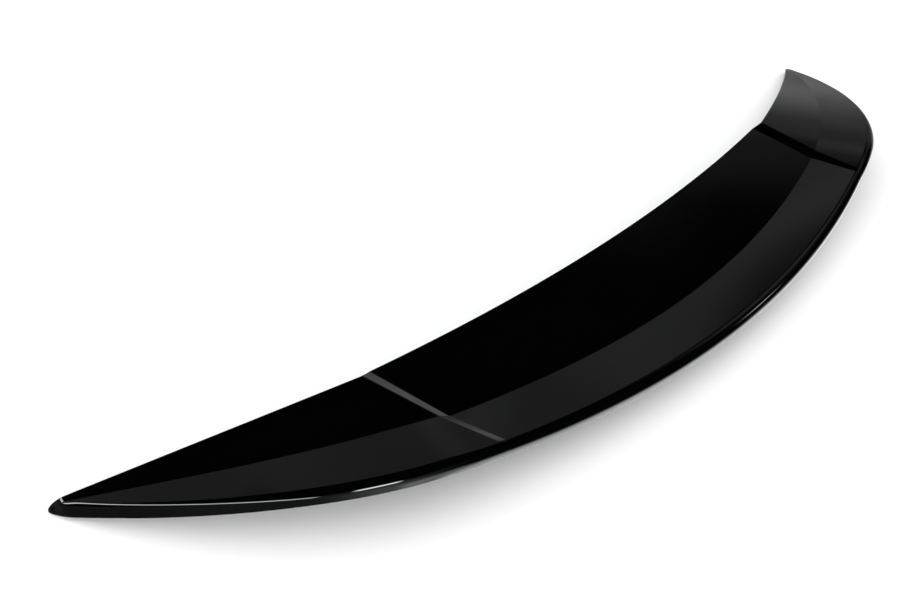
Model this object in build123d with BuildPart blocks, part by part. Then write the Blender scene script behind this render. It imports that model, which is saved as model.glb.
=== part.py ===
# Boot lid spoiler: one moulded shell with a recessed middle section, two raised wings that sweep
# forward to rounded tips, a kicked-up rear part and a rolled trailing rim.
# Frame: X along the span, +Y towards the front of the car, +Z up. The origin is the middle of the
# bonding land, the flat strip under the leading edge. All sizes are in millimetres.
import os
from math import atan, hypot, pi, sin, sqrt, tan

from build123d import *

# Skin, its small rounds, and the most that each round may take up of a small section
WALL = 3.0
FRONT_ROLL = 2.0
FRONT_ROLL_ROOM = 0.25
LOWER_EDGE_ROUND = 0.7
LOWER_ROUND_ROOM = 0.08

# Bonding land: a flat bar under the leading edge of the middle section, standing just below its lip
LAND_WIDTH = 10.0
LAND_PROUD = 0.5
LAND_SET_BACK = 1.0
LAND_END_GAP = 10.0

# Middle section, measured at mid span
MID_CHORD = 173.9
RIM_MID_HEIGHT = 2.3
FRONT_LIP = 4.0

# Middle section, from mid span to the step on each side
STEP_LEAD_X = 320.5
STEP_RIM_X = 297.2
LEAD_BOW = 23.9
RIM_BOW = 39.4
RIM_LIFT = 14.0

# Crease between the leading zone and the kicked-up rear zone: its place as a share of the chord,
# at most a share of the way to the top of the flange, and how far it lies below the straight line
# from the leading edge to the rim
CREASE_SHARE_MID = 0.637
CREASE_SHARE_STEP = 0.574
CREASE_SHARE_WING = 0.555
CREASE_SHARE_TIP = 0.33
CREASE_DIP_MID = 6.0
CREASE_DIP_STEP = 7.0
CREASE_DIP_WING = 3.8
CREASE_DIP_TIP = 0.4
CREASE_REACH = 0.8

# Step up from the middle section to a wing. The ramp is rounded over the eased share at each end.
RAMP_LEAD = 13.5
RAMP_RIM = 7.5
RAMP_EASE = 0.12
STEP_LEAD_RISE = 5.0
STEP_RIM_RISE = 0.7
STEP_LEAD_SET_BACK = 2.9
STEP_RIM_SET_FORWARD = 1.8

# Wing, from the step to the tip. The rim is drawn out beside the step, to run on from the middle.
HALF_SPAN = 593.5
TIP_FORWARD = 123.5
TIP_CHORD = 8.0
TIP_SWEEP = 5.0
TIP_HEIGHT = -33.5
LEAD_PLAN_BOW = 7.0
LEAD_CROWN = 7.0
RIM_PLAN_BOW = 57.0
RIM_CROWN = 25.0
RIM_ROOT_FLARE = 4.5
RIM_ROOT_FLARE_SHARE = 0.2
WING_FRONT_LIP = 11.0

# Rolled rim and the flange below it. Along each wing the flange leans out more and more: the lean
# is how far its foot stands out for each millimetre of height. On the narrow tip, its top is set in
# by at most a share of the chord, and the roll takes up at most a share of the flats beside it.
RIM_ROLL = 10.2
RIM_DROP = 11.4
END_RIM_ROLL = 14.0
END_RIM_DROP = 9.1
END_LEAN = 0.95
END_RIM_FROM = 0.15
END_RIM_TO = 0.6
RIM_INSET_MOST = 0.75
ROLL_ROOM = 0.87

# Solid tip and the round nose that closes it, as shares of the wing's run
HOLLOW_TO = 0.9
NOSE_FROM = 0.95
NOSE_TOP_ROUND = 6.0
NOSE_CLOSED = 0.98

# Sections along each stretch
CENTRE_STATIONS = 7
RAMP_STATIONS = 11
WING_STATIONS = 17
TIP_STATIONS = 4
NOSE_STATIONS = 7


def between(start, end, share):
    """Value or point that lies the given share of the way from start to end."""
    return start + (end - start) * share


def bowed(start, end, bow, share):
    """Point on a straight run that bows out by the given amount half way along it."""
    return between(start, end, share) + bow * (4 * share * (1 - share))


def blend(share, low, high):
    """Smooth change from 0 at low to 1 at high."""
    part = min(max((share - low) / (high - low), 0), 1)
    return part * part * (3 - 2 * part)


def eased(share, ease):
    """Rise of a ramp, 0 to 1, that is straight apart from a rounded stretch at each end."""
    slope = 1 / (1 - ease)
    if share > 0.5:
        return 1 - eased(1 - share, ease)
    if share < ease:
        return slope * share * share / (2 * ease)
    return slope * (share - ease / 2)


def section(lead, rim, crease_share, crease_dip, front_lip, rim_drop, rim_roll, lean, slant, hollow=True):
    """Closed cross-section on the upright plane through a leading-edge point and a rim point.

    The flange's foot lies below the rim point, and its top is set in from there by the lean. slant
    is the part of the rim's outward direction that lies in this plane, so that the flange keeps its
    lean and its thickness where the rim crosses the plane at an angle.
    """
    reach = Vector(rim.X - lead.X, rim.Y - lead.Y, 0)
    width = reach.length
    chord_slope = (rim.Z - lead.Z) / width
    pull = lean / slant
    inset = min(pull * rim_drop / (1 + pull * chord_slope), RIM_INSET_MOST * width)
    rim_start = width - inset
    rim_top = rim.Z - chord_slope * inset
    rim_foot = rim.Z - rim_drop
    crease = min(crease_share * width, CREASE_REACH * rim_start)
    crease_top = lead.Z + chord_slope * crease - crease_dip
    rear_slope = (rim_top - crease_top) / (rim_start - crease)
    flange_lean = inset / (rim_top - rim_foot)

    front_roll = min(FRONT_ROLL, FRONT_ROLL_ROOM * crease)
    turn = pi / 2 + atan(rear_slope) - atan(flange_lean)
    rear_run = hypot(rim_start - crease, rim_top - crease_top)
    flange_run = hypot(inset, rim_top - rim_foot)
    rim_roll = min(rim_roll, ROLL_ROOM * min(rear_run, flange_run) / tan(turn / 2))
    lower_round = min(LOWER_EDGE_ROUND, LOWER_ROUND_ROOM * rim_drop)
    outline = [
        (0, lead.Z - front_lip),
        (0, lead.Z),
        (crease, crease_top),
        (rim_start, rim_top),
        (width, rim_foot),
    ]
    radii = [0, front_roll, 0, rim_roll, lower_round]
    if hollow:
        rear_wall = WALL * sqrt(1 + lean * lean) / slant
        front_slope = (crease_top - lead.Z) / crease
        skin_depth = (rear_slope * rear_wall + WALL) / (1 + rear_slope * flange_lean)
        outline += [
            (width - rear_wall, rim_foot),
            (rim_start - rear_wall + flange_lean * skin_depth, rim_top - skin_depth),
            (crease, crease_top - WALL),
            (WALL, lead.Z + front_slope * WALL - WALL),
            (WALL, lead.Z - front_lip),
        ]
        radii += [0, max(rim_roll - WALL, 0), 0, 0, 0]
    upright = Plane(origin=(lead.X, lead.Y, 0), x_dir=reach, z_dir=reach.cross(Vector(0, 0, 1)))
    with BuildSketch(upright) as profile:
        with BuildLine():
            FilletPolyline(*outline, radius=radii, close=True)
        make_face()
    return profile.sketch


# Leading edge and rim at mid span, about the middle of the bonding land
lead_mid = LAND_WIDTH / 2 + LAND_SET_BACK
lead_height = LAND_PROUD + FRONT_LIP
rim_mid = lead_mid - MID_CHORD

# Ends of the middle section's leading edge and rim, at the step
step_lead = Vector(STEP_LEAD_X, lead_mid + LEAD_BOW, lead_height)
step_rim = Vector(STEP_RIM_X, rim_mid + RIM_BOW, RIM_MID_HEIGHT + RIM_LIFT)


def centre_section(share):
    """Section of the middle part, share -1 at one step to 1 at the other."""
    grow = share * share
    lead = Vector(step_lead.X * share, between(lead_mid, step_lead.Y, grow), lead_height)
    rim = Vector(
        step_rim.X * share,
        between(rim_mid, step_rim.Y, grow),
        between(RIM_MID_HEIGHT, step_rim.Z, grow),
    )
    crease_share = between(CREASE_SHARE_MID, CREASE_SHARE_STEP, grow)
    crease_dip = between(CREASE_DIP_MID, CREASE_DIP_STEP, grow)
    return section(lead, rim, crease_share, crease_dip, FRONT_LIP, RIM_DROP, RIM_ROLL, lean=0, slant=1)


def land_edge(mid, reach):
    """Edge of the bonding land, which bows with the leading edge and crosses mid span at mid."""
    bow = LEAD_BOW * (reach / STEP_LEAD_X) ** 2
    return Bezier((-reach, mid + bow), (0, mid - bow), (reach, mid + bow))


# Ends of a wing's leading edge and rim, at the step and at the tip
wing_lead_root = step_lead + Vector(RAMP_LEAD, -STEP_LEAD_SET_BACK, STEP_LEAD_RISE)
wing_rim_root = step_rim + Vector(RAMP_RIM, STEP_RIM_SET_FORWARD + RIM_ROOT_FLARE, STEP_RIM_RISE)
wing_lead_tip = Vector(HALF_SPAN - TIP_SWEEP / 2, lead_mid + TIP_FORWARD, TIP_HEIGHT)
wing_rim_tip = wing_lead_tip + Vector(TIP_SWEEP, -TIP_CHORD, 0)
lead_bow = Vector(0, -LEAD_PLAN_BOW, LEAD_CROWN)
rim_bow = Vector(0, -RIM_PLAN_BOW, RIM_CROWN)


def wing_lead(share):
    """Leading-edge point of a wing."""
    return bowed(wing_lead_root, wing_lead_tip, lead_bow, share)


def wing_rim(share):
    """Rim point of a wing."""
    beside_step = max(1 - share / RIM_ROOT_FLARE_SHARE, 0)
    flare = Vector(0, RIM_ROOT_FLARE * beside_step * beside_step, 0)
    return bowed(wing_rim_root, wing_rim_tip, rim_bow, share) - flare


def wing_slant(share):
    """Part of the rim's outward direction that lies in a wing's section plane."""
    rim_run = wing_rim_tip - wing_rim_root + rim_bow * (4 - 8 * share)
    outward = Vector(rim_run.Y, -rim_run.X, 0).normalized()
    across = wing_rim(share) - wing_lead(share)
    return Vector(across.X, across.Y, 0).normalized().dot(outward)


def on_ramp(start, end, share):
    """Point on a ramp: even along the span, eased in the other two directions."""
    risen = between(start, end, eased(share, RAMP_EASE))
    return Vector(between(start.X, end.X, share), risen.Y, risen.Z)


def ramp_section(share):
    """Section of a ramp, share 0 at the middle section to 1 at the wing."""
    rise = eased(share, RAMP_EASE)
    return section(
        on_ramp(step_lead, wing_lead(0), share),
        on_ramp(step_rim, wing_rim(0), share),
        between(CREASE_SHARE_STEP, CREASE_SHARE_WING, rise),
        between(CREASE_DIP_STEP, CREASE_DIP_WING, rise),
        between(FRONT_LIP, WING_FRONT_LIP, rise),
        RIM_DROP,
        RIM_ROLL,
        lean=0,
        slant=between(1, wing_slant(0), share),
    )


def wing_section(share, hollow=True):
    """Section of a wing, share 0 at the step to 1 at the tip.

    In the nose, the sections shrink evenly towards a line below the middle of the skin.
    """
    along_nose = NOSE_CLOSED * max(share - NOSE_FROM, 0) / (1 - NOSE_FROM)
    left = sqrt(1 - along_nose * along_nose)
    heart = between(wing_lead(share), wing_rim(share), 0.5) - Vector(0, 0, NOSE_TOP_ROUND)
    end = blend(share, END_RIM_FROM, END_RIM_TO)
    return section(
        between(heart, wing_lead(share), left),
        between(heart, wing_rim(share), left),
        between(CREASE_SHARE_WING, CREASE_SHARE_TIP, share),
        between(CREASE_DIP_WING, CREASE_DIP_TIP, share) * left,
        WING_FRONT_LIP * left,
        between(RIM_DROP, END_RIM_DROP, end) * left,
        between(RIM_ROLL, END_RIM_ROLL, end) * left,
        END_LEAN * blend(share, 0, END_RIM_TO),
        wing_slant(share),
        hollow,
    )


def shares(start, end, count):
    """Evenly spaced shares from start to end."""
    return [between(start, end, index / (count - 1)) for index in range(count)]


# Shares of the solid tip's sections, which stand closer and closer towards the end of the nose
nose_shares = [between(NOSE_FROM, 1, sin(quarter * pi / 2)) for quarter in shares(0, 1, NOSE_STATIONS)]
tip_shares = shares(HOLLOW_TO, NOSE_FROM, TIP_STATIONS) + nose_shares[1:]

with BuildPart() as spoiler:
    # One side: the ramp up from the middle section, the hollow wing, then the solid tip
    loft([ramp_section(share) for share in shares(0, 1, RAMP_STATIONS)])
    loft([wing_section(share) for share in shares(0, HOLLOW_TO, WING_STATIONS)])
    loft([wing_section(share, hollow=False) for share in tip_shares])
    mirror(about=Plane.YZ)

    # Middle section, between the two ramps
    loft([centre_section(share) for share in shares(-1, 1, CENTRE_STATIONS)])

    # Bonding land, reaching up into the skin and stopping short of the ramps
    land_reach = STEP_LEAD_X - LAND_END_GAP
    with BuildSketch():
        with BuildLine():
            front = land_edge(LAND_WIDTH / 2, land_reach)
            back = land_edge(-LAND_WIDTH / 2, land_reach)
            Line(front @ 0, back @ 0)
            Line(front @ 1, back @ 1)
        make_face()
    extrude(amount=lead_height - WALL / 2)

spoiler.part.label = "spoiler_shell"
os.makedirs("parts", exist_ok=True)
export_step(spoiler.part, "parts/spoiler_shell.step")
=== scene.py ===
from math import cos, pi, radians, sin, sqrt, tan

import bmesh
import bpy
from mathutils import Matrix, Vector


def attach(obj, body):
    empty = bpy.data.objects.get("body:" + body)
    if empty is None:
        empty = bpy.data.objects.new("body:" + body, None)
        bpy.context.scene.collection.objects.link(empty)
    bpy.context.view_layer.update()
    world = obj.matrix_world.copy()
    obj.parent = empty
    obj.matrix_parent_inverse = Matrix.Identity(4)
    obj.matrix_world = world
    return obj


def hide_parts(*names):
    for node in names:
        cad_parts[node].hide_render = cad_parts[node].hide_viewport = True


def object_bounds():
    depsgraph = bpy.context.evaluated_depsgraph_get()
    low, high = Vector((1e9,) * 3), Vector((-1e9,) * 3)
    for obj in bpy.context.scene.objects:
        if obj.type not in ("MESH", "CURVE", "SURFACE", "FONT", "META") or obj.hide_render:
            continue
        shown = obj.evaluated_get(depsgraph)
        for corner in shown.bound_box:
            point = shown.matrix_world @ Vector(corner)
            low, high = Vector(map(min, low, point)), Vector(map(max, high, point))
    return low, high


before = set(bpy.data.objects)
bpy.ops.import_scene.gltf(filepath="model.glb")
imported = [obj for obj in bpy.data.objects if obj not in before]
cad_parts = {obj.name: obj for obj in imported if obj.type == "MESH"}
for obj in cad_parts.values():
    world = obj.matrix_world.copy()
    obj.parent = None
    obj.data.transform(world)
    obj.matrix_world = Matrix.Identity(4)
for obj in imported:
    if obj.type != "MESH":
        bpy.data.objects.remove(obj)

cad_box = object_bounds()


# Spoiler shell: the whole part, one shell of black plastic that is injection moulded and then
# finished in a clear high gloss on its outer side. It is bonded to the boot lid along the flat bar
# under the middle of its leading edge. Lengths are in metres, and shares run from 0 to 1.
WALL = 0.003

# Bonding land: the flat bar under the leading edge of the middle part
LAND_WIDTH = 0.010
LAND_PROUD = 0.0005
LAND_SET_BACK = 0.001
LAND_END_GAP = 0.010

# Middle part: how far its two edges bow, and its rim lifts, from mid span to the step
MID_CHORD = 0.1739
RIM_MID_HEIGHT = 0.0023
FRONT_LIP = 0.004
STEP_LEAD_X = 0.3205
STEP_RIM_X = 0.2972
LEAD_BOW = 0.0239
RIM_BOW = 0.0394
RIM_LIFT = 0.0140

# Crease: its place as a share of the chord, and how far it dips below a straight chord
CREASE_SHARE = {"mid": 0.637, "step": 0.574, "wing": 0.555, "tip": 0.33}
CREASE_DIP = {"mid": 0.006, "step": 0.0070, "wing": 0.0038, "tip": 0.0004}

# Step: the ramp's run along the span, and how the wing's root stands to the end of the middle part
RAMP_LEAD = 0.0135
RAMP_RIM = 0.0075
RAMP_EASE = 0.12
STEP_LEAD_RISE = 0.0050
STEP_RIM_RISE = 0.0007
STEP_LEAD_SET_BACK = 0.0029
STEP_RIM_SET_FORWARD = 0.0018
RIM_ROOT_FLARE = 0.0045
RIM_ROOT_FLARE_SHARE = 0.2

# Wing: the place of its tip, and how far its two edges bow and crown half way along
HALF_SPAN = 0.5935
TIP_FORWARD = 0.1235
TIP_CHORD = 0.008
TIP_SWEEP = 0.005
TIP_HEIGHT = -0.0335
LEAD_PLAN_BOW = 0.007
LEAD_CROWN = 0.007
RIM_PLAN_BOW = 0.0570
RIM_CROWN = 0.0250
WING_FRONT_LIP = 0.011

# Rolled rim and the flange below it, which leans out along the wing
RIM_ROLL = 0.0102
RIM_DROP = 0.0114
END_RIM_ROLL = 0.014
END_RIM_DROP = 0.0091
END_LEAN = 0.95
END_RIM_FROM = 0.15
END_RIM_TO = 0.6

# Tip: where the hollow under the wing fades out, and where the round nose begins
HOLLOW_FADE_FROM = 0.84
HOLLOW_FADE_TO = 0.92
NOSE_FROM = 0.95
NOSE_TOP_ROUND = 0.006
NOSE_CLOSED = 0.998

# Other roundings, and the most of a narrow section that a rounding, the flange or the crease may take
FRONT_ROLL = 0.002
CREASE_ROUND = 0.008
LOWER_EDGE_ROUND = 0.0007
FRONT_ROOM = 0.25
SMALL_ROOM = 0.08
ROLL_ROOM = 0.87
RIM_INSET_MOST = 0.75
CREASE_REACH = 0.8

lead_mid = LAND_WIDTH / 2 + LAND_SET_BACK
lead_height = LAND_PROUD + FRONT_LIP
rim_mid = lead_mid - MID_CHORD
step_lead = Vector((STEP_LEAD_X, lead_mid + LEAD_BOW, lead_height))
step_rim = Vector((STEP_RIM_X, rim_mid + RIM_BOW, RIM_MID_HEIGHT + RIM_LIFT))
wing_lead_root = step_lead + Vector((RAMP_LEAD, -STEP_LEAD_SET_BACK, STEP_LEAD_RISE))
wing_rim_root = step_rim + Vector((RAMP_RIM, STEP_RIM_SET_FORWARD + RIM_ROOT_FLARE, STEP_RIM_RISE))
wing_lead_tip = Vector((HALF_SPAN - TIP_SWEEP / 2, lead_mid + TIP_FORWARD, TIP_HEIGHT))
wing_rim_tip = wing_lead_tip + Vector((TIP_SWEEP, -TIP_CHORD, 0))
lead_bow = Vector((0, -LEAD_PLAN_BOW, LEAD_CROWN))
rim_bow = Vector((0, -RIM_PLAN_BOW, RIM_CROWN))


def between(start, end, share):
    """Value or point that lies the given share of the way from start to end."""
    return start + (end - start) * share


def bowed(start, end, bow, share):
    """Point on a straight run that bows out by the given amount half way along it."""
    return between(start, end, share) + bow * (4 * share * (1 - share))


def bowed_course(start, end, bow, share):
    """Direction in which that bowed run goes on at a point of it."""
    return end - start + bow * (4 - 8 * share)


def blend(share, low, high):
    """Smooth change from 0 at low to 1 at high."""
    part = min(max((share - low) / (high - low), 0), 1)
    return part * part * (3 - 2 * part)


def eased(share):
    """Rise of a ramp, 0 to 1, that is straight apart from a rounded stretch at each end."""
    slope = 1 / (1 - RAMP_EASE)
    if share > 0.5:
        return 1 - eased(1 - share)
    if share < RAMP_EASE:
        return slope * share * share / (2 * RAMP_EASE)
    return slope * (share - RAMP_EASE / 2)


GUARD = 0.0008
GUARD_ROOM = 0.02


def corner_points(before, corner, after, radius, room, steps):
    """Arc round a corner, with a guard point on the flat beside each end to keep that flat true.

    room is the most of the shorter flat that the arc may take up.
    """
    back = (before - corner).normalized()
    ahead = (after - corner).normalized()
    half = back.angle(ahead) / 2
    shorter = min((before - corner).length, (after - corner).length)
    reach = min(radius / tan(half), room * shorter)
    radius = reach * tan(half)
    centre = corner + (back + ahead).normalized() * (radius / sin(half))
    spoke = corner + back * reach - centre
    turn = pi - 2 * half
    if back.cross(ahead) > 0:
        turn = -turn
    arc = [centre + Matrix.Rotation(turn * step / steps, 2) @ spoke for step in range(steps + 1)]
    guard = min(GUARD, GUARD_ROOM * shorter)
    return [arc[0] + back * guard, *arc, arc[-1] + ahead * guard]


FRONT_STEPS = 6
CREASE_STEPS = 4
RIM_STEPS = 16
LOWER_EDGE_STEPS = 4
INNER_RIM_STEPS = 6


def section(
    lead, rim, crease_share, crease_dip, front_lip, rim_drop, rim_roll, lean, slant, land=False, hollow=1
):
    """Closed section on the upright plane through a leading-edge point and a rim point.

    lean is how far the flange runs out for each unit of its drop, square to the rim, and slant is the
    part of that direction that lies in the plane. land adds the bonding land. hollow goes from 1, open
    below, to 0, solid. Gives pairs of a point and its gloss: 1 on the outer side, 0 under the skin.
    """
    reach = Vector((rim.x - lead.x, rim.y - lead.y, 0))
    width = reach.length
    chord_slope = (rim.z - lead.z) / width
    rear_wall = min(WALL * sqrt(1 + lean * lean) / slant, width / 2)
    pull = lean / slant
    inset = min(pull * rim_drop / (1 + pull * chord_slope), RIM_INSET_MOST * width)
    rim_start = width - inset
    rim_top = rim.z - chord_slope * inset
    crease = min(crease_share * width, CREASE_REACH * rim_start)
    crease_top = lead.z + chord_slope * crease - crease_dip
    front_slope = (crease_top - lead.z) / crease
    rear_slope = (rim_top - crease_top) / (rim_start - crease)
    flange_lean = inset / (rim_top - rim.z + rim_drop)
    skin_depth = (rear_slope * rear_wall + WALL) / (1 + rear_slope * flange_lean)
    lip_foot = Vector((0, lead.z - front_lip))
    front_edge = Vector((0, lead.z))
    fold = Vector((crease, crease_top))
    rim_edge = Vector((rim_start, rim_top))
    flange_foot = Vector((width, rim.z - rim_drop))
    flange_back = Vector((width - rear_wall, rim.z - rim_drop))
    inner_rim = Vector((rim_start - rear_wall + flange_lean * skin_depth, rim_top - skin_depth))
    inner_fold = Vector((crease, crease_top - WALL))

    outer = [lip_foot]
    outer += corner_points(lip_foot, front_edge, fold, FRONT_ROLL, FRONT_ROOM, FRONT_STEPS)
    outer += corner_points(front_edge, fold, rim_edge, CREASE_ROUND, SMALL_ROOM, CREASE_STEPS)
    outer += corner_points(fold, rim_edge, flange_foot, rim_roll, ROLL_ROOM, RIM_STEPS)
    below = between(lip_foot, flange_back, hollow)
    outer += corner_points(rim_edge, flange_foot, below, LOWER_EDGE_ROUND, SMALL_ROOM, LOWER_EDGE_STEPS)

    inner = [flange_back]
    inner += corner_points(flange_back, inner_rim, inner_fold, rim_roll - WALL, ROLL_ROOM, INNER_RIM_STEPS)
    inner += [inner_fold]
    if land:
        land_back = LAND_SET_BACK + LAND_WIDTH
        inner += [
            Vector((land_back, lead.z + front_slope * land_back - WALL)),
            Vector((land_back, 0)),
            Vector((LAND_SET_BACK, 0)),
            Vector((LAND_SET_BACK, lip_foot.y)),
        ]
    else:
        inner += [
            Vector((WALL, lead.z + front_slope * WALL - WALL)),
            Vector((WALL, lip_foot.y)),
            Vector((WALL * 2 / 3, lip_foot.y)),
            Vector((WALL / 3, lip_foot.y)),
        ]
    count = len(inner)
    closed = [between(outer[-1], lip_foot, (index + 1) / (count + 1)) for index in range(count)]
    inner = [between(shut, open_point, hollow) for shut, open_point in zip(closed, inner)]

    along = reach.normalized()
    base = Vector((lead.x, lead.y, 0))
    outline = [(point, 1.0) for point in outer] + [(point, 0.0) for point in inner]
    return [(base + along * point.x + Vector((0, 0, point.y)), gloss) for point, gloss in outline]


def centre_section(share, land):
    """Section of the middle part, share 0 at mid span to 1 at the step."""
    grow = share * share
    return section(
        Vector((step_lead.x * share, between(lead_mid, step_lead.y, grow), lead_height)),
        Vector((
            step_rim.x * share,
            between(rim_mid, step_rim.y, grow),
            between(RIM_MID_HEIGHT, step_rim.z, grow),
        )),
        between(CREASE_SHARE["mid"], CREASE_SHARE["step"], grow),
        between(CREASE_DIP["mid"], CREASE_DIP["step"], grow),
        FRONT_LIP,
        RIM_DROP,
        RIM_ROLL,
        lean=0,
        slant=1,
        land=land,
    )


def wing_rim(share):
    """Rim point of a wing, drawn out a little beside the step to run on from the middle part."""
    beside = max(1 - share / RIM_ROOT_FLARE_SHARE, 0)
    flare = Vector((0, RIM_ROOT_FLARE * beside * beside, 0))
    return bowed(wing_rim_root, wing_rim_tip, rim_bow, share) - flare


def wing_slant(share):
    """Part of the rim's outward direction that lies in a wing's section plane."""
    lead = bowed(wing_lead_root, wing_lead_tip, lead_bow, share)
    rim = wing_rim(share)
    course = bowed_course(wing_rim_root, wing_rim_tip, rim_bow, share)
    outward = Vector((course.y, -course.x)).normalized()
    return (rim - lead).xy.normalized().dot(outward)


def ramp_section(share):
    """Section of the ramp from the middle part up to a wing, even along the span and eased in height."""
    rise = eased(share)
    lead = between(step_lead, wing_lead_root, rise)
    rim = between(step_rim, wing_rim(0), rise)
    lead.x = between(step_lead.x, wing_lead_root.x, share)
    rim.x = between(step_rim.x, wing_rim_root.x, share)
    return section(
        lead,
        rim,
        between(CREASE_SHARE["step"], CREASE_SHARE["wing"], rise),
        between(CREASE_DIP["step"], CREASE_DIP["wing"], rise),
        between(FRONT_LIP, WING_FRONT_LIP, rise),
        RIM_DROP,
        RIM_ROLL,
        lean=0,
        slant=between(1, wing_slant(0), share),
    )


def wing_section(share):
    """Section of a wing, share 0 at the step to 1 at the tip, where it closes in a round nose."""
    along_nose = NOSE_CLOSED * max(share - NOSE_FROM, 0) / (1 - NOSE_FROM)
    left = sqrt(1 - along_nose * along_nose)
    lead = bowed(wing_lead_root, wing_lead_tip, lead_bow, share)
    rim = wing_rim(share)
    heart = between(lead, rim, 0.5) - Vector((0, 0, NOSE_TOP_ROUND))
    end = blend(share, END_RIM_FROM, END_RIM_TO)
    return section(
        between(heart, lead, left),
        between(heart, rim, left),
        between(CREASE_SHARE["wing"], CREASE_SHARE["tip"], share),
        between(CREASE_DIP["wing"], CREASE_DIP["tip"], share) * left,
        WING_FRONT_LIP * left,
        between(RIM_DROP, END_RIM_DROP, end) * left,
        between(RIM_ROLL, END_RIM_ROLL, end) * left,
        END_LEAN * blend(share, 0, END_RIM_TO),
        wing_slant(share),
        hollow=1 - blend(share, HOLLOW_FADE_FROM, HOLLOW_FADE_TO),
    )


def shares(start, end, count):
    """Evenly spaced shares, with start left out, because the stretch before it ends there."""
    return [between(start, end, (index + 1) / count) for index in range(count)]


# Sections from mid span to the tip, closer together at the step and in the nose
LAND_STATIONS = 40
STEP_STATIONS = 4
RAMP_STATIONS = 20
WING_STATIONS = 64
NOSE_STATIONS = 12
STEP_GUARD = 0.003

land_end = (STEP_LEAD_X - LAND_END_GAP) / STEP_LEAD_X
land_shares = [0, *shares(0, land_end, LAND_STATIONS)]
landless_shares = [*shares(land_end, 1 - STEP_GUARD, STEP_STATIONS), 1]
wing_shares = [STEP_GUARD, *shares(STEP_GUARD, NOSE_FROM, WING_STATIONS)]
nose_shares = [between(NOSE_FROM, 1, sin(quarter * pi / 2)) for quarter in shares(0, 1, NOSE_STATIONS)]

sections = [centre_section(share, land=True) for share in land_shares]
sections += [centre_section(share, land=False) for share in landless_shares]
sections += [ramp_section(share) for share in shares(0, 1, RAMP_STATIONS)]
sections += [wing_section(share) for share in wing_shares + nose_shares]

MERGE_DISTANCE = 1e-6
SHARP_ANGLE = radians(35)

shell = bmesh.new()
gloss_layer = shell.verts.layers.float.new("gloss")
last_edges = []
for points in sections:
    ring = []
    for point, gloss in points:
        vertex = shell.verts.new(point)
        vertex[gloss_layer] = gloss
        ring.append(vertex)
    ring_edges = [shell.edges.new((ring[index - 1], ring[index])) for index in range(len(ring))]
    if last_edges:
        bmesh.ops.bridge_loops(shell, edges=last_edges + ring_edges)
    last_edges = ring_edges
bmesh.ops.edgeloop_fill(shell, edges=last_edges)
half_shell = [*shell.verts, *shell.edges, *shell.faces]
bmesh.ops.mirror(shell, geom=half_shell, axis="X", merge_dist=MERGE_DISTANCE)
bmesh.ops.remove_doubles(shell, verts=shell.verts, dist=MERGE_DISTANCE)
bmesh.ops.recalc_face_normals(shell, faces=shell.faces)
for face in shell.faces:
    face.smooth = True
for edge in shell.edges:
    edge.smooth = edge.calc_face_angle(0) < SHARP_ANGLE
shell_mesh = bpy.data.meshes.new("spoiler_skin")
shell.to_mesh(shell_mesh)
shell.free()
spoiler_skin = bpy.data.objects.new("spoiler_skin", shell_mesh)
bpy.context.collection.objects.link(spoiler_skin)


class Signal:
    """Output of a shader node, with operators that add Math nodes."""

    def __init__(self, tree, output=None):
        self.tree = tree
        self.output = output

    def node(self, kind, settings, sockets, output=0):
        """Adds a node, sets it up, fills or links its sockets, and gives the output that is asked for."""
        made = self.tree.nodes.new(kind)
        for name, value in settings.items():
            setattr(made, name, value)
        for name, value in sockets.items():
            if isinstance(value, Signal):
                self.tree.links.new(value.output, made.inputs[name])
            else:
                made.inputs[name].default_value = value
        return Signal(self.tree, made.outputs[output] if made.outputs else None)

    def math(self, operation, first, second):
        """Adds a Math node on two values."""
        return self.node("ShaderNodeMath", {"operation": operation}, {0: first, 1: second})

    def __add__(self, other):
        return self.math("ADD", self, other)

    __radd__ = __add__

    def __sub__(self, other):
        return self.math("SUBTRACT", self, other)

    def __rsub__(self, other):
        return self.math("SUBTRACT", other, self)

    def __mul__(self, other):
        return self.math("MULTIPLY", self, other)

    __rmul__ = __mul__

    def __truediv__(self, other):
        return self.math("DIVIDE", self, other)

    def __rtruediv__(self, other):
        return self.math("DIVIDE", other, self)

    def __neg__(self):
        return -1 * self

    def ease(self, low, high):
        """Smooth change from 0 at low to 1 at high."""
        return self.node(
            "ShaderNodeMapRange",
            {"interpolation_type": "SMOOTHSTEP"},
            {"Value": self, "From Min": low, "From Max": high},
        )


PIANO_BLACK = (0.0006, 0.0006, 0.00065, 1)
MOULDED_BLACK = (0.012, 0.012, 0.0125, 1)
COOL_GLINT = (0.9, 0.97, 1, 1)
GLOSS_ROUGHNESS = 0.04
SATIN_ROUGHNESS = 0.42
HAZE_ROUGHNESS = 0.03
COAT_ROUGHNESS = 0.015
PLASTIC_IOR = 1.5
COAT_IOR = 1.5
GRAIN_HEIGHT = 4
RELIEF_DEPTH = 0.00002
RELIEF_STRENGTH = 0.25

skin_finish = bpy.data.materials.new("piano_black_plastic")
skin_finish.use_nodes = True
skin_finish.node_tree.nodes.clear()
paint = Signal(skin_finish.node_tree)
gloss_mask = paint.node("ShaderNodeAttribute", {"attribute_name": "gloss"}, {}, "Fac")
coordinates = paint.node("ShaderNodeTexCoord", {}, {}, "Object")


def mottle(scale, detail):
    """Soft noise all through the piece, from 0 to 1."""
    sockets = {"Vector": coordinates, "Scale": scale, "Detail": detail}
    return paint.node("ShaderNodeTexNoise", {}, sockets, "Fac")


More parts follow.
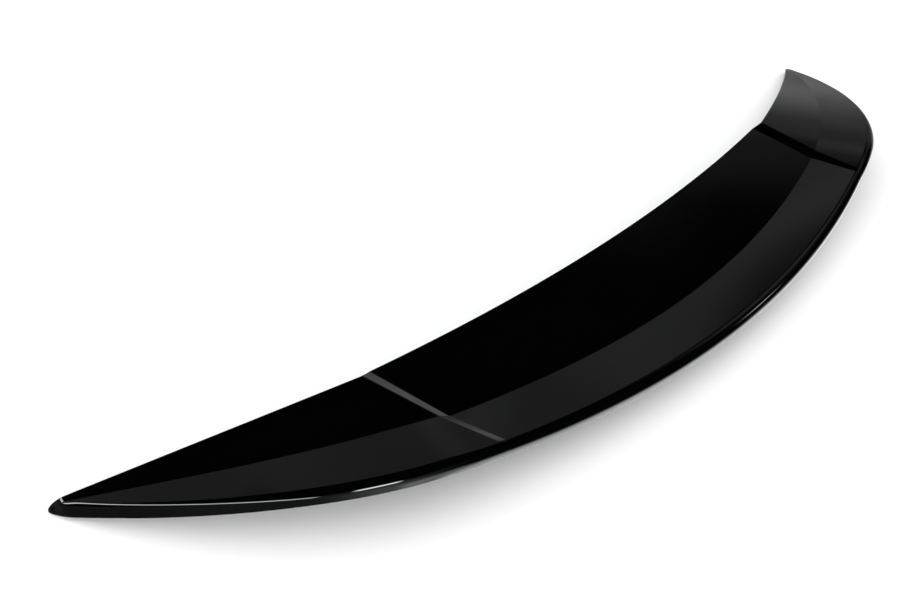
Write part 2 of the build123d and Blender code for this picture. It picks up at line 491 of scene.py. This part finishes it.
# A slow haze all over, a fine ripple in the gloss and the grain of the mould on the underside
haze = mottle(scale=9.0, detail=4.0)
ripple = mottle(scale=260.0, detail=2.0)
grain = mottle(scale=1500.0, detail=3.0)
colour = paint.node(
    "ShaderNodeMix",
    {"data_type": "RGBA"},
    {"Factor": gloss_mask, "A": MOULDED_BLACK, "B": PIANO_BLACK},
    "Result",
)
roughness = SATIN_ROUGHNESS - gloss_mask * (SATIN_ROUGHNESS - GLOSS_ROUGHNESS) + haze * HAZE_ROUGHNESS
relief = paint.node(
    "ShaderNodeBump",
    {},
    {
        "Strength": RELIEF_STRENGTH,
        "Distance": RELIEF_DEPTH,
        "Height": ripple * gloss_mask + grain * GRAIN_HEIGHT * (1 - gloss_mask),
    },
)
surface = paint.node(
    "ShaderNodeBsdfPrincipled",
    {},
    {
        "Base Color": colour,
        "Roughness": roughness,
        "IOR": PLASTIC_IOR,
        "Specular Tint": COOL_GLINT,
        "Coat Weight": gloss_mask,
        "Coat Roughness": COAT_ROUGHNESS,
        "Coat IOR": COAT_IOR,
        "Normal": relief,
    },
)
paint.node("ShaderNodeOutputMaterial", {}, {"Surface": surface})
shell_mesh.materials.append(skin_finish)

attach(spoiler_skin, "root")
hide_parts("spoiler_shell")


# Floor: a plain matt white studio ground that the tips of the part stand on. It is not part of the
# object, only what it is shown on. It is kept out of the gloss, which mirrors the glow of the room
# below the horizon in its place.
FLOOR_REACH = 30.0
FLOOR_WHITE = (0.86, 0.86, 0.865, 1)

ground = bmesh.new()
bmesh.ops.create_grid(ground, x_segments=1, y_segments=1, size=FLOOR_REACH)
bmesh.ops.translate(ground, verts=ground.verts, vec=(0, 0, cad_box[0].z))
floor_mesh = bpy.data.meshes.new("studio_floor")
ground.to_mesh(floor_mesh)
ground.free()
studio_floor = bpy.data.objects.new("studio_floor", floor_mesh)
bpy.context.collection.objects.link(studio_floor)

floor_finish = bpy.data.materials.new("matt_white_ground")
floor_finish.use_nodes = True
floor_finish.node_tree.nodes.clear()
chalk = Signal(floor_finish.node_tree)
floor_surface = chalk.node("ShaderNodeBsdfDiffuse", {}, {"Color": FLOOR_WHITE})
chalk.node("ShaderNodeOutputMaterial", {}, {"Surface": floor_surface})
floor_mesh.materials.append(floor_finish)
studio_floor.visible_glossy = False


# Studio light: one broad light from above that lays the soft shadow, and a dim room that the gloss
# mirrors. The room is glow far away: a grey wall under a dark ceiling, a lit ground, a screen behind
# the near corner, and soft boxes and dark flags round the part.
KEY_STRENGTH = 1.0
KEY_SPREAD = radians(105)

key_data = bpy.data.lights.new("overhead_light", "SUN")
key_data.energy = KEY_STRENGTH
key_data.angle = KEY_SPREAD
overhead_light = bpy.data.objects.new("overhead_light", key_data)
overhead_light.visible_glossy = False
bpy.context.collection.objects.link(overhead_light)

scene = bpy.context.scene
scene.view_settings.view_transform = "Standard"
room = bpy.data.worlds.new("studio_room")
room.use_nodes = True
room.node_tree.nodes.clear()
scene.world = room
air = Signal(room.node_tree)
look = air.node("ShaderNodeTexCoord", {}, {}, "Generated")


def facing(direction):
    """How far the line of sight points along a direction, from -1 to 1."""
    sockets = {0: look, 1: direction}
    return air.node("ShaderNodeVectorMath", {"operation": "DOT_PRODUCT"}, sockets, "Value")


# Wall, screen and ground: an edge or a top is the pair of values of facing between which the glow fades
WALL_GLOW = 0.085
WALL_TOP = (sin(radians(31)), sin(radians(36)))
SCREEN_GLOW = 0.6
SCREEN_SIDE = (-0.574, -0.819, 0)
SCREEN_EDGE = (0.82, 1.05)
SCREEN_TOP = (0.06, 0.6)
GROUND_FRONT_GLOW = 0.13
GROUND_REAR_GLOW = 0.87
GROUND_REAR_SIDE = (-0.5, -0.866, 0)
GROUND_REAR_EDGE = (-0.3, 0.8)
GROUND_TOP = (-0.12, 0.06)
DEEP_GROUND_GLOW = 1.2
DEEP_GROUND_TOP = (-0.5, -0.34)

height = facing((0, 0, 1))
glow = (1 - height.ease(*WALL_TOP)) * WALL_GLOW
screen = facing(SCREEN_SIDE).ease(*SCREEN_EDGE) * (1 - height.ease(*SCREEN_TOP))
glow = glow + screen * SCREEN_GLOW
ground_glow = GROUND_FRONT_GLOW + facing(GROUND_REAR_SIDE).ease(*GROUND_REAR_EDGE) * GROUND_REAR_GLOW
glow = glow + ground_glow * (1 - height.ease(*GROUND_TOP))
glow = glow + DEEP_GROUND_GLOW * (1 - height.ease(*DEEP_GROUND_TOP))

PANEL_FRONT = 0.2


def panel(azimuth, elevation, half_width, half_height, edge, strength):
    """Flat panel far away, with soft edges, that shows only on the side where it stands.

    Angles are in degrees, and azimuth runs from the front to the right.
    """
    turn = radians(azimuth)
    lift = radians(elevation)
    ahead = Vector((sin(turn) * cos(lift), cos(turn) * cos(lift), sin(lift)))
    across = Vector((cos(turn), -sin(turn), 0))
    upward = across.cross(ahead)
    depth = facing(ahead)
    soft = tan(radians(edge))
    inside = depth.ease(0, PANEL_FRONT)
    for axis, half in ((across, half_width), (upward, half_height)):
        offset = facing(axis) / depth
        border = tan(radians(half))
        inside = inside * offset.ease(-border - soft, -border + soft)
        inside = inside * (-offset).ease(-border - soft, -border + soft)
    return inside * strength


# Soft boxes that grey the far wing, the near step and the zone behind the crease
soft_boxes = [
    panel(azimuth=41.5, elevation=22, half_width=2, half_height=6, edge=2, strength=0.03),
    panel(azimuth=52, elevation=2, half_width=10, half_height=6, edge=5, strength=0.15),
    panel(azimuth=57, elevation=19, half_width=6, half_height=4.5, edge=3, strength=0.045),
    panel(azimuth=55, elevation=35, half_width=8, half_height=4, edge=3, strength=0.06),
    panel(azimuth=20, elevation=28, half_width=4, half_height=6, edge=8, strength=0.03),
    panel(azimuth=63, elevation=9, half_width=6, half_height=6, edge=6, strength=0.15),
]
for soft_box in soft_boxes:
    glow = glow + soft_box

# Dark flags that hold back the zone before the crease, the near tip and its flange, and the far rim
dark_flags = [
    panel(azimuth=85, elevation=46, half_width=21, half_height=16, edge=2, strength=0.6),
    panel(azimuth=-36, elevation=42, half_width=27, half_height=14, edge=3, strength=1),
    panel(azimuth=1, elevation=46, half_width=13, half_height=15.5, edge=2, strength=1),
    panel(azimuth=-80, elevation=6, half_width=12, half_height=12, edge=6, strength=0.35),
    panel(azimuth=138, elevation=10, half_width=42, half_height=24, edge=8, strength=0.97),
]
for dark_flag in dark_flags:
    glow = glow * (1 - dark_flag)

# Lamps that draw the thin light lines along the rim
rim_lamps = [
    panel(azimuth=89, elevation=41.5, half_width=12.5, half_height=4.5, edge=3, strength=0.12),
    panel(azimuth=-70, elevation=43, half_width=44, half_height=1.8, edge=1.5, strength=6.5),
    panel(azimuth=-146, elevation=31, half_width=8, half_height=4.5, edge=2, strength=9),
    panel(azimuth=127, elevation=21, half_width=2, half_height=2, edge=2, strength=4),
]
for rim_lamp in rim_lamps:
    glow = glow + rim_lamp

# The camera sees plain white behind the floor, and matt surfaces get a fill light, most of it from the rear
BACKDROP_WHITE = (1, 1, 1, 1)
FILL_ALL_ROUND = 0.35
FILL_REAR = 1.1
FILL_REAR_SIDE = (-0.55, -0.75, 0.37)
FILL_REAR_EDGE = (-0.4, 1)

camera_ray = air.node("ShaderNodeLightPath", {}, {}, "Is Camera Ray")
diffuse_ray = air.node("ShaderNodeLightPath", {}, {}, "Is Diffuse Ray")
fill = diffuse_ray * (FILL_ALL_ROUND + facing(FILL_REAR_SIDE).ease(*FILL_REAR_EDGE) * FILL_REAR)
room_strength = glow * (1 - camera_ray) + camera_ray + fill
backdrop = air.node("ShaderNodeBackground", {}, {"Color": BACKDROP_WHITE, "Strength": room_strength})
air.node("ShaderNodeOutputWorld", {}, {"Surface": backdrop})


# Camera: it stands above and behind the left rear corner, with the whole part in its frame. Its place
# and lens give the view of the reference photograph, with no shift and no roll.
IMAGE_WIDTH = 920
FOCAL_PIXELS = 900.0
SENSOR_WIDTH = 36.0
NEAREST_SEEN = 0.01
CAMERA_PLACE = Vector((-0.6730, -0.4479, 0.5740))
CAMERA_LOOK = Vector((0.5353, 0.5479, -0.6428))

camera_data = bpy.data.cameras.new("studio_camera")
camera_data.sensor_fit = "HORIZONTAL"
camera_data.sensor_width = SENSOR_WIDTH
camera_data.lens = SENSOR_WIDTH * FOCAL_PIXELS / IMAGE_WIDTH
camera_data.clip_start = NEAREST_SEEN
studio_camera = bpy.data.objects.new("studio_camera", camera_data)
studio_camera.location = CAMERA_PLACE
studio_camera.rotation_euler = CAMERA_LOOK.to_track_quat("-Z", "Y").to_euler()
bpy.context.collection.objects.link(studio_camera)
scene.camera = studio_camera
